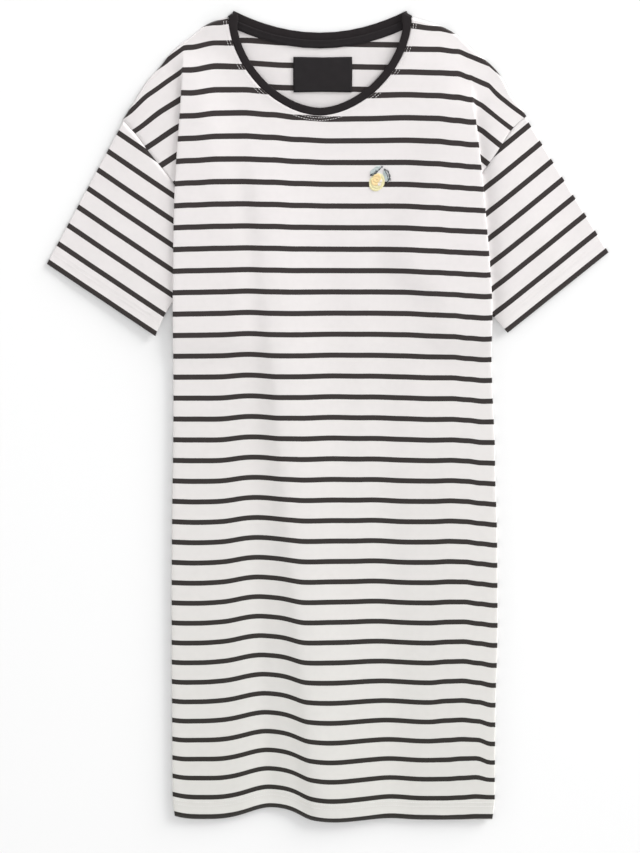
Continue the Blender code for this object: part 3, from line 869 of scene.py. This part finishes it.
def sleeve_ring(side, t):
    """One section round the flattened sleeve: top layer, underarm, lower layer, fold."""
    width = math.dist(sleeve_place(side, 0.0, t), sleeve_place(side, 1.0, t))
    inset = FOLD_REACH / width
    top, under = [], []
    for share in reversed(SHARES):
        q = mix(1 - inset, inset, share)
        x, y = sleeve_place(side, q, t)
        cloth = from_cuff(side, x, y)
        dip = SLEEVE_DIP * (1 - smooth(t / SLEEVE_DIP_RUN))
        top.append((x, y, sleeve_top_z(side, q, t, x, y, inset), *cloth))
        under.append((x, y, cap_z(side, x, y, BACK_Z) + dip * 0.5, *cloth))

    def bend(a, b, inner):
        length = math.dist(a[:2], inner[:2])
        out_x, out_y = (a[0] - inner[0]) / length, (a[1] - inner[1]) / length
        middle, radius = (a[2] + b[2]) / 2, (a[2] - b[2]) / 2
        points = []
        for i in range(1, BEND_STEPS):
            angle = math.pi * i / BEND_STEPS
            reach = abs(radius) * math.sin(angle)
            z = middle + radius * math.cos(angle)
            x, y = a[0] + out_x * reach, a[1] + out_y * reach
            points.append((x, y, z, *from_cuff(side, x, y)))
        return points

    ring = top + bend(top[-1], under[-1], top[-2])
    ring += under[::-1] + bend(under[0], top[0], top[1])
    return ring + [ring[0]]


for side in SIDES:
    rings = [sleeve_ring(side, i / SLEEVE_RINGS) for i in range(SLEEVE_RINGS + 1)]
    sleeve = cloth_piece("sleeve_" + side.name + "_cloth", [(side, rings)], WALL, SLEEVE_JERSEY)
    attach(sleeve, "root")
    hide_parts("sleeve_" + side.name)


# Neck binding. A narrow strip of black jersey, folded double and sewn round the whole
# neck edge, so that it stands up in the front and turns down behind at the shoulders.
GAP = 0.3
FRONT_BAND = 8.5
CORNER_BAND = 11.0
BACK_BAND = 9.8
BAND_THICK = 1.4
BAND_WALL = 0.5
BAND_OPEN = 0.35
BAND_BACK_Z = 1.0
BAND_FRONT_Z = FRONT_Z + NECK_LIFT
CORNER_ANGLE = 28.0
CORNER_INSET = 0.6
CORNER_LIFT = 0.5
CORNER_REACH = 12.0
CORNER_STEPS = 12
SECTION_POINTS = 18
SECTION_SQUARENESS = 0.55


def neck_curve(panel, offset):
    """The panel's neck edge from its lowest point to the shoulder, and its normals."""
    path = []
    for share in SHARES:
        if share > panel.neck_bottom() - 1e-6:
            y = panel.row_y(LEFT, share, 0.0)
            path.append((panel.neck_x(y), y))
    normals = []
    for i in range(len(path)):
        ax, ay = path[max(0, i - 1)]
        bx, by = path[min(len(path) - 1, i + 1)]
        if i == 0:
            ax, ay = -bx, by
        length = math.hypot(bx - ax, by - ay)
        normals.append((-(by - ay) / length, (bx - ax) / length))
    edge_points = [(x + nx * offset, y + ny * offset) for (x, y), (nx, ny) in zip(path, normals)]
    return edge_points, normals


def band_section(at, across, normal, z, width):
    """A rounded section of the folded strip, open at its sewn edge at the given place."""
    points = []
    for i in range(SECTION_POINTS + 1):
        angle = mix(BAND_OPEN, 2 * math.pi - BAND_OPEN, i / SECTION_POINTS)
        c, s = math.cos(angle), math.sin(angle)
        wide = width / 2 * (1 - math.copysign(abs(c) ** SECTION_SQUARENESS, c))
        tall = BAND_THICK / 2 * math.copysign(abs(s) ** SECTION_SQUARENESS, s)
        x = at[0] + across[0] * wide + normal[0] * tall
        y = at[1] + across[1] * wide + normal[1] * tall
        points.append((x, y, z + normal[2] * tall, wide * MM, 0.0))
    return points


def band_rows():
    angle = math.radians(CORNER_ANGLE)
    corner = (-math.cos(angle), math.sin(angle))
    over = (math.sin(angle), math.cos(angle))
    corner_at = (NECK_HALF - CORNER_INSET, NECK_TOP_Y - ROLL + CORNER_LIFT)

    def near_corner(at):
        return smooth((at[1] - NECK_TOP_Y + CORNER_REACH) / CORNER_REACH)

    rows = []
    places, normals = neck_curve(FRONT, GAP)
    for at, across in zip(places[:-1], normals):
        width = mix(FRONT_BAND, CORNER_BAND, near_corner(at))
        rows.append(band_section(at, across, (0.0, 0.0, 1.0), BAND_FRONT_Z, width))
    radius = (BAND_FRONT_Z - BAND_BACK_Z) / 2
    for i in range(CORNER_STEPS + 1):
        turn = math.pi * i / CORNER_STEPS
        reach = radius * math.sin(turn)
        at = (corner_at[0] + over[0] * reach, corner_at[1] + over[1] * reach)
        normal = (over[0] * math.sin(turn), over[1] * math.sin(turn), math.cos(turn))
        z = BAND_BACK_Z + radius * (1 + math.cos(turn))
        width = mix(CORNER_BAND, BACK_BAND, i / CORNER_STEPS)
        rows.append(band_section(at, corner, normal, z, width))
    places, normals = neck_curve(BACK, GAP)
    for at, across in list(zip(places, normals))[-2::-1]:
        rows.append(band_section(at, across, (0.0, 0.0, -1.0), BAND_BACK_Z, BACK_BAND))
    run = 0.0
    for k in range(len(rows)):
        if k:
            run += math.dist(rows[k - 1][0][:3], rows[k][0][:3])
        rows[k] = [(*p[:4], run * MM) for p in rows[k]]
    return rows


def plain_cloth(name, colour, roughness, ribs, strength):
    """Plain dyed cloth with fine ribs across its own length."""
    surface = {
        "Roughness": roughness,
        "Sheen Weight": 0.03,
        "Sheen Roughness": 0.4,
        "Specular IOR Level": 0.12,
    }
    mat, tree, shader = new_material(name, surface)
    cloth = add(tree, "ShaderNodeUVMap", uv_map="Cloth").outputs[0]
    inputs = {"Vector": cloth, "Scale": ribs, "Distortion": 0.8}
    wave = add(tree, "ShaderNodeTexWave", inputs, bands_direction="Y")
    noise = add(tree, "ShaderNodeTexNoise", {"Vector": cloth, "Scale": 90.0}).outputs[0]
    shade = ranged(tree, noise, (0.0, 0.8), (1.0, 1.2))
    tree.links.new(blended(tree, 1.0, colour, shade, "MULTIPLY"), shader.inputs["Base Color"])
    bumped(tree, shader, wave.outputs["Fac"], strength, 0.2)
    return mat


BINDING_CLOTH = plain_cloth("Black binding jersey", (0.0165, 0.0138, 0.0145), 0.9, 380.0, 0.3)
band = band_rows()
neck_binding = cloth_piece("neck_binding", [(side, band) for side in SIDES], BAND_WALL, BINDING_CLOTH)
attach(neck_binding, "root")
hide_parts("neck_band")


# Back neck tape. A narrow black twill tape, sewn inside over the seam of the binding,
# so that its upper edge rides up on the band and its lower edge lies on the jersey.
TAPE_THICK = 0.6

# Section of the tape: distance down from the seam, height
TAPE_SECTION = ((-2.0, 2.45), (-0.8, 2.42), (0.6, 2.1), (2.0, 1.8), (3.6, 1.74), (7.1, 1.72))


def tape_rows():
    places, normals = neck_curve(BACK, 0.0)
    rows = []
    run = 0.0
    before = places[0]
    for at, (nx, ny) in list(zip(places, normals))[:-1]:
        run += math.dist(before, at)
        before = at
        row = []
        for wide, z in TAPE_SECTION:
            row.append((at[0] - nx * wide, at[1] - ny * wide, z, wide * MM, run * MM))
        rows.append(row)
    return rows


TAPE_CLOTH = plain_cloth("Black twill tape", (0.018, 0.0155, 0.0165), 0.85, 520.0, 0.5)
tape = tape_rows()
back_tape = cloth_piece("back_neck_tape", [(side, tape) for side in SIDES], TAPE_THICK, TAPE_CLOTH)
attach(back_tape, "root")
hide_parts("neck_tape")


# Woven label. A bare black satin label, sewn inside the back below the tape, made here as one
# thin slab with no fold at its ends. It bears no lettering.
LABEL_WIDTH = 66.0
LABEL_HEIGHT = 39.0
LABEL_TOP_Y = 433.4
LABEL_X = 3.0
LABEL_THICK = 0.7
LABEL_Z = 2 * BACK_Z + GAP + 0.4
LABEL_BOW = 0.35
LABEL_SAG = 0.5
LABEL_LIFT = 0.25
LABEL_ACROSS = 26
LABEL_UP = 16


def label_rows():
    rows = []
    for i in range(LABEL_UP + 1):
        up = i / LABEL_UP
        row = []
        for j in range(LABEL_ACROSS + 1):
            share = j / LABEL_ACROSS - 0.5
            side_bow = LABEL_BOW * math.sin(math.pi * up)
            x = LABEL_X + share * (LABEL_WIDTH - 2 * LABEL_BOW + 2 * side_bow)
            sag = LABEL_SAG * math.cos(2 * math.pi * share) * (0.5 - up)
            y = LABEL_TOP_Y - LABEL_HEIGHT * (1 - up) + sag
            z = LABEL_Z + LABEL_LIFT * math.sin(math.pi * up) * math.sin(math.pi * (share + 0.5))
            row.append((x, y, z, share * LABEL_WIDTH * MM, up * LABEL_HEIGHT * MM))
        rows.append(row)
    return rows


LABEL_SATIN = plain_cloth("Black woven satin", (0.0158, 0.0138, 0.0148), 0.7, 700.0, 0.25)
woven_label = cloth_piece("woven_label", [(RIGHT, label_rows())], LABEL_THICK, LABEL_SATIN)
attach(woven_label, "root")
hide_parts("neck_label")


# Topstitching. Twin rows of white thread hold the turned-up hem, the cuffs and the seam
# of the binding; each stitch is a short thread that dips into the cloth at both ends.
STITCH_PITCH = 3.0
STITCH_LENGTH = 2.5
THREAD = 0.42
HEM_ROWS = (17.0, 22.0)
CUFF_ROWS = (14.0, 18.5)
NECK_ROWS = (2.3, 5.2)
NECK_ROWS_END = 3.0
STITCH_SINK = 0.08
HEM_POINTS = 81
CUFF_POINTS = 41
CUFF_END = 0.02


def stitch_group():
    """Sets a stitch at even steps along each line and turns them into one mesh."""
    group, given, result = new_group(
        "Row of stitches",
        "GeometryNodeTree",
        {
            "Geometry": "NodeSocketGeometry",
            "Pitch": "NodeSocketFloat",
            "Length": "NodeSocketFloat",
            "Thickness": "NodeSocketFloat",
            "Thread": "NodeSocketMaterial",
        },
        {"Geometry": "NodeSocketGeometry"},
    )
    curve = add(group, "GeometryNodeMeshToCurve", {"Mesh": given["Geometry"]}).outputs[0]
    measured = {"Curve": curve, "Length": given["Pitch"]}
    points = add(group, "GeometryNodeCurveToPoints", measured, mode="LENGTH").outputs
    bead = {"Segments": 6, "Rings": 4, "Radius": 0.5}
    stitch = add(group, "GeometryNodeMeshUVSphere", bead).outputs["Mesh"]
    sizes = {"X": given["Thickness"], "Y": given["Thickness"], "Z": given["Length"]}
    size = add(group, "ShaderNodeCombineXYZ", sizes).outputs[0]
    placed = {"Points": points["Points"], "Instance": stitch, "Rotation": points["Rotation"], "Scale": size}
    sewn = add(group, "GeometryNodeInstanceOnPoints", placed).outputs[0]
    real = add(group, "GeometryNodeRealizeInstances", {"Geometry": sewn}).outputs[0]
    rounded = add(group, "GeometryNodeSetShadeSmooth", {"Geometry": real}).outputs[0]
    dyed = add(group, "GeometryNodeSetMaterial", {"Geometry": rounded, "Material": given["Thread"]})
    group.links.new(dyed.outputs[0], result["Geometry"])
    return group


STITCHES = stitch_group()


def thread(name, colour):
    """Sewing thread, a little uneven in shade."""
    mat, tree, shader = new_material(name, {"Roughness": 0.6, "Sheen Weight": 0.1})
    place = add(tree, "ShaderNodeTexCoord").outputs["Object"]
    noise = add(tree, "ShaderNodeTexNoise", {"Vector": place, "Scale": 450.0}).outputs[0]
    shade = ranged(tree, noise, (0.0, 0.85), (1.0, 1.15))
    tree.links.new(blended(tree, 1.0, colour, shade, "MULTIPLY"), shader.inputs["Base Color"])
    return mat


def sewn_piece(name, lines, mat, pitch=STITCH_PITCH, length=STITCH_LENGTH, thick=THREAD):
    """Sews a row of stitches along each line of points, which are in millimetres."""
    mesh = bpy.data.meshes.new(name)
    points, ends = [], []
    for line in lines:
        first = len(points)
        points += [Vector(p) * MM for p in line]
        ends += [(k, k + 1) for k in range(first, len(points) - 1)]
    mesh.from_pydata(points, ends, [])
    obj = bpy.data.objects.new(name, mesh)
    bpy.context.scene.collection.objects.link(obj)
    sewing = obj.modifiers.new("Sewing", "NODES")
    sewing.node_group = STITCHES
    values = {"Pitch": pitch * MM, "Length": length * MM, "Thickness": thick * MM, "Thread": mat}
    for socket in STITCHES.interface.items_tree:
        if socket.in_out == "INPUT" and socket.name in values:
            sewing[socket.identifier] = values[socket.name]
    finished(obj, mat)
    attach(obj, "root")
    return obj


WHITE_THREAD = thread("White sewing thread", (0.70, 0.68, 0.68))


def on_cloth(z):
    return z + WALL / 2 + THREAD / 2 - STITCH_SINK


def hem_line(up):
    """A row of stitches across the front at this height above the hem."""
    halves = []
    for side in SIDES:
        y = HEM_Y + up
        half = []
        for i in range(HEM_POINTS):
            x = FRONT.crease_x(side, y) * i / (HEM_POINTS - 1)
            half.append((side.sign * x, y + hem_wave(side, x, y), on_cloth(front_z(side, x, y))))
        halves.append(half)
    return halves[0][::-1] + halves[1][1:]


def neck_line(away):
    """A row of stitches round the front neck, this far out from the binding's seam."""
    halves = []
    for side in SIDES:
        half = []
        for x, y in neck_curve(FRONT, -away)[0]:
            if y < NECK_TOP_Y - NECK_ROWS_END:
                half.append((side.sign * x, y, on_cloth(front_z(side, x, y))))
        halves.append(half)
    return halves[0][::-1] + halves[1][1:]


def cuff_line(side, up):
    """A row of stitches across the top of a sleeve at this distance from the cuff."""
    line = []
    for i in range(CUFF_POINTS):
        q = mix(CUFF_END, 1 - CUFF_END, i / (CUFF_POINTS - 1))
        run = math.dist(sleeve_place(side, q, 0.0), sleeve_place(side, q, 1.0))
        t = 1 - up / run
        x, y = sleeve_place(side, q, t)
        line.append((side.sign * x, y, on_cloth(sleeve_top_z(side, q, t, x, y, CUFF_END / 2))))
    return line


hem_sewing = sewn_piece("hem_stitching", [hem_line(up) for up in HEM_ROWS], WHITE_THREAD)
neck_sewing = sewn_piece("neck_stitching", [neck_line(away) for away in NECK_ROWS], WHITE_THREAD)
for side in SIDES:
    rows = [cuff_line(side, up) for up in CUFF_ROWS]
    cuff_sewing = sewn_piece("cuff_" + side.name + "_stitching", rows, WHITE_THREAD)


# Embroidered fruit. A small lemon with two leaves, filled with close rows of coloured
# thread straight on the chest of the front panel.
FRUIT_X = 64.0
FRUIT_Y = 293.5
FILL_THREAD = 0.62
FILL_PITCH = 3.2
FILL_LENGTH = FILL_PITCH * 1.2
FILL_SPACING = 0.46
LINE_THREAD = 0.75


def on_chest(x, y, lift):
    """A point over the front, counted from the middle of the fruit."""
    x, y = FRUIT_X + x, FRUIT_Y + y
    return x, y, front_z(RIGHT, x, y) + WALL / 2 + lift


def filled(x, y, half_length, half_width, lean, pinch, lift):
    """Rows of thread that fill a round (pinch 2) or pointed (pinch 1.3) shape."""
    lines = []
    count = round(2 * half_width / FILL_SPACING)
    long_x, long_y = math.cos(math.radians(lean)), math.sin(math.radians(lean))
    for k in range(1, count):
        off = -1 + 2 * k / count
        reach = half_length * (1 - abs(off) ** pinch) ** (1 / pinch)
        if reach < FILL_THREAD:
            continue
        line = []
        for i in range(9):
            run = reach * (i / 4 - 1)
            side_step = off * half_width
            px = x + run * long_x - side_step * long_y
            py = y + run * long_y + side_step * long_x
            line.append(on_chest(px, py, lift))
        lines.append(line)
    return lines


def drawn(lift, *strokes):
    return [[on_chest(x, y, lift) for x, y in stroke] for stroke in strokes]


LEMON = thread("Lemon yellow thread", (0.74, 0.69, 0.42))
LEMON_WARM = thread("Warm lemon thread", (0.80, 0.62, 0.33))
LEMON_LIGHT = thread("Pale lemon thread", (0.76, 0.71, 0.68))
LEAF = thread("Pale sage thread", (0.47, 0.53, 0.53))
OUTLINE = thread("Ink green thread", (0.035, 0.042, 0.048))

VEINS = drawn(
    0.6,
    ((-6.2, 8.1), (-3.2, 9.3), (-0.6, 11.1), (2.6, 14.1), (5.6, 17.4)),
    ((-6.2, 8.8), (-3.4, 10.0), (-0.8, 11.8), (2.4, 14.7), (5.6, 17.4)),
    ((-5.9, 9.5), (-3.8, 10.7), (-1.4, 12.4)),
    ((-5.0, 7.8), (-3.0, 8.6), (-1.0, 10.1)),
    ((5.6, 17.4), (7.6, 15.2), (9.6, 12.2), (11.0, 9.6)),
    ((9.6, 14.6), (12.6, 12.8), (14.2, 8.6), (14.6, 4.0), (12.4, 0.4)),
    ((9.8, 13.8), (12.4, 11.6), (13.5, 8.0), (13.9, 4.4), (11.8, 1.0)),
    ((12.8, 12.0), (14.8, 8.0), (15.4, 3.2)),
    ((10.2, 10.8), (11.8, 7.3), (12.7, 3.3)),
)
FRUIT_PARTS = (
    ("lemon_underlay", filled(0.0, 0.0, 7.0, 8.0, -26.0, 2.1, 0.05), LEMON),
    ("lemon_body", filled(0.0, 0.0, 8.9, 7.5, 64.0, 2.1, 0.4), LEMON),
    ("lemon_warm", filled(-0.9, 2.8, 5.4, 4.6, 64.0, 2.0, 0.62), LEMON_WARM),
    ("lemon_light", filled(3.6, -0.4, 2.2, 1.9, 64.0, 2.0, 0.74), LEMON_LIGHT),
    ("leaf_left", filled(-1.8, 13.6, 5.6, 3.2, 38.0, 1.5, 0.4), LEAF),
    ("leaf_right", filled(10.4, 6.6, 5.4, 2.5, 110.0, 1.5, 0.4), LEAF),
    ("leaf_veins", VEINS, OUTLINE),
)
for name, lines, dyed in FRUIT_PARTS:
    thick = LINE_THREAD if dyed is OUTLINE else FILL_THREAD
    embroidery = sewn_piece(name, lines, dyed, FILL_PITCH, FILL_LENGTH, thick)


# Floor, light and camera. The garment lies on a plain white floor, lit softly from the
# upper right, and is seen from the photo's angle.
FLOOR_REACH = 4.0
FLOOR_Z = -0.2
FLOOR_WHITE = 0.79
GLOW_LOW = 3.6
GLOW_HIGH = 0.64
GLOW_TOP = 0.45

# Each light: name, place, where it points, width, depth, power
STUDIO_LIGHTS = (
    ("Key light", (9.4, 8.55, 3.12), (0.0, 0.15, 0.0), 6.4, 5.6, 2240.0),
    ("Soft box above", (0.2, 0.3, 1.9), (0.2, 0.3, 0.0), 1.5, 1.5, 7.2),
)

matt = {"Base Color": (FLOOR_WHITE,) * 3 + (1.0,), "Roughness": 1.0, "Specular IOR Level": 0.0}
floor_paint = new_material("White studio floor", matt)[0]
floor_mesh = bpy.data.meshes.new("floor")
floor_corners = []
for x, y in ((-1, -1), (1, -1), (1, 1), (-1, 1)):
    floor_corners.append((FLOOR_REACH * x, FLOOR_REACH * y, FLOOR_Z * MM))
floor_mesh.from_pydata(floor_corners, [], [(0, 1, 2, 3)])
floor_mesh.materials.append(floor_paint)
floor = bpy.data.objects.new("floor", floor_mesh)
bpy.context.scene.collection.objects.link(floor)

world = bpy.data.worlds.new("Soft studio")
world.use_nodes = True
sky = world.node_tree
background = sky.nodes["Background"]
background.inputs["Color"].default_value = (1.0, 1.0, 1.0, 1.0)
towards = add(sky, "ShaderNodeTexCoord").outputs["Generated"]
height_of = add(sky, "ShaderNodeSeparateXYZ", {0: towards}).outputs[2]
glow = ranged(sky, height_of, (0.0, GLOW_LOW), (GLOW_TOP, GLOW_HIGH))
sky.links.new(glow, background.inputs["Strength"])
bpy.context.scene.world = world

for name, place, aim, width, depth, power in STUDIO_LIGHTS:
    lamp = bpy.data.lights.new(name, "AREA")
    lamp.shape = "RECTANGLE"
    lamp.size = width
    lamp.size_y = depth
    lamp.energy = power
    light = bpy.data.objects.new(name, lamp)
    light.location = place
    light.rotation_mode = "QUATERNION"
    light.rotation_quaternion = (Vector(aim) - Vector(place)).to_track_quat("-Z", "Y")
    bpy.context.scene.collection.objects.link(light)

CAMERA_PLACE = (0.0, 0.784943, 2.788690)
CAMERA_TILT = -15.595
camera_data = bpy.data.cameras.new("Camera")
camera_data.sensor_fit = "VERTICAL"
camera_data.sensor_height = 36.0
camera_data.lens = 105.51
camera = bpy.data.objects.new("Camera", camera_data)
camera.location = CAMERA_PLACE
camera.rotation_euler = (math.radians(CAMERA_TILT), 0.0, 0.0)
bpy.context.scene.collection.objects.link(camera)
bpy.context.scene.camera = camera
bpy.context.scene.view_settings.view_transform = "Standard"
